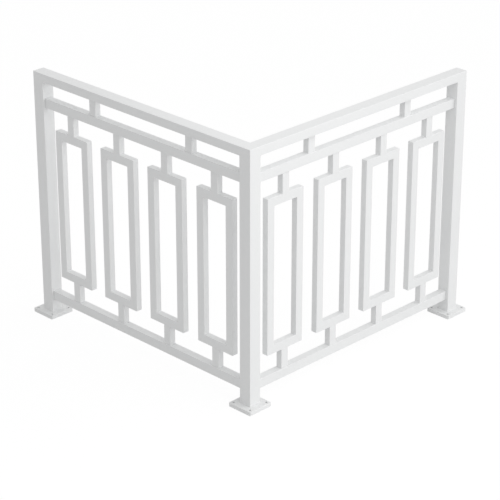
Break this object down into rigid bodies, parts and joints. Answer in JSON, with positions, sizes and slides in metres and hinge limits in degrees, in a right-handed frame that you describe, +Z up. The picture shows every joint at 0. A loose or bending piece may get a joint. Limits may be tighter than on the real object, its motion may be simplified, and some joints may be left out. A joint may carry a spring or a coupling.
{
  "type": "corner railing",
  "caption": "White tubular corner railing with square posts on drilled base plates, flat top rails and tall rectangular frames held on short stubs between rails.",
  "frame": {"origin": "on the floor under the axis of the corner post, at the underside of its base plate", "axes": "+X along the right bay, +Y along the left bay, +Z up along the corner post"},
  "size_m": [1.16, 1.16, 0.964],
  "materials": {
    "white_powder_coat": "satin white powder coat"
  },
  "bodies": {
    "root": {"corner_post": "white_powder_coat", "left_end_post": "white_powder_coat", "right_end_post": "white_powder_coat", "corner_base_plate": "white_powder_coat", "left_base_plate": "white_powder_coat", "right_base_plate": "white_powder_coat", "corner_foot_weld": "white_powder_coat", "left_foot_weld": "white_powder_coat", "right_foot_weld": "white_powder_coat", "left_top_rail": "white_powder_coat", "right_top_rail": "white_powder_coat", "left_middle_rail": "white_powder_coat", "right_middle_rail": "white_powder_coat", "left_bottom_rail": "white_powder_coat", "right_bottom_rail": "white_powder_coat", "left_frame_1": "white_powder_coat", "left_frame_2": "white_powder_coat", "left_frame_3": "white_powder_coat", "left_frame_4": "white_powder_coat", "right_frame_1": "white_powder_coat", "right_frame_2": "white_powder_coat", "right_frame_3": "white_powder_coat", "right_frame_4": "white_powder_coat", "left_lower_stub_1": "white_powder_coat", "left_lower_stub_2": "white_powder_coat", "left_lower_stub_3": "white_powder_coat", "left_lower_stub_4": "white_powder_coat", "right_lower_stub_1": "white_powder_coat", "right_lower_stub_2": "white_powder_coat", "right_lower_stub_3": "white_powder_coat", "right_lower_stub_4": "white_powder_coat", "left_upper_stub_1": "white_powder_coat", "left_upper_stub_2": "white_powder_coat", "left_upper_stub_3": "white_powder_coat", "left_upper_stub_4": "white_powder_coat", "right_upper_stub_1": "white_powder_coat", "right_upper_stub_2": "white_powder_coat", "right_upper_stub_3": "white_powder_coat", "right_upper_stub_4": "white_powder_coat", "left_top_stub_1": "white_powder_coat", "left_top_stub_2": "white_powder_coat", "right_top_stub_1": "white_powder_coat", "right_top_stub_2": "white_powder_coat"}
  },
  "joints": []
}
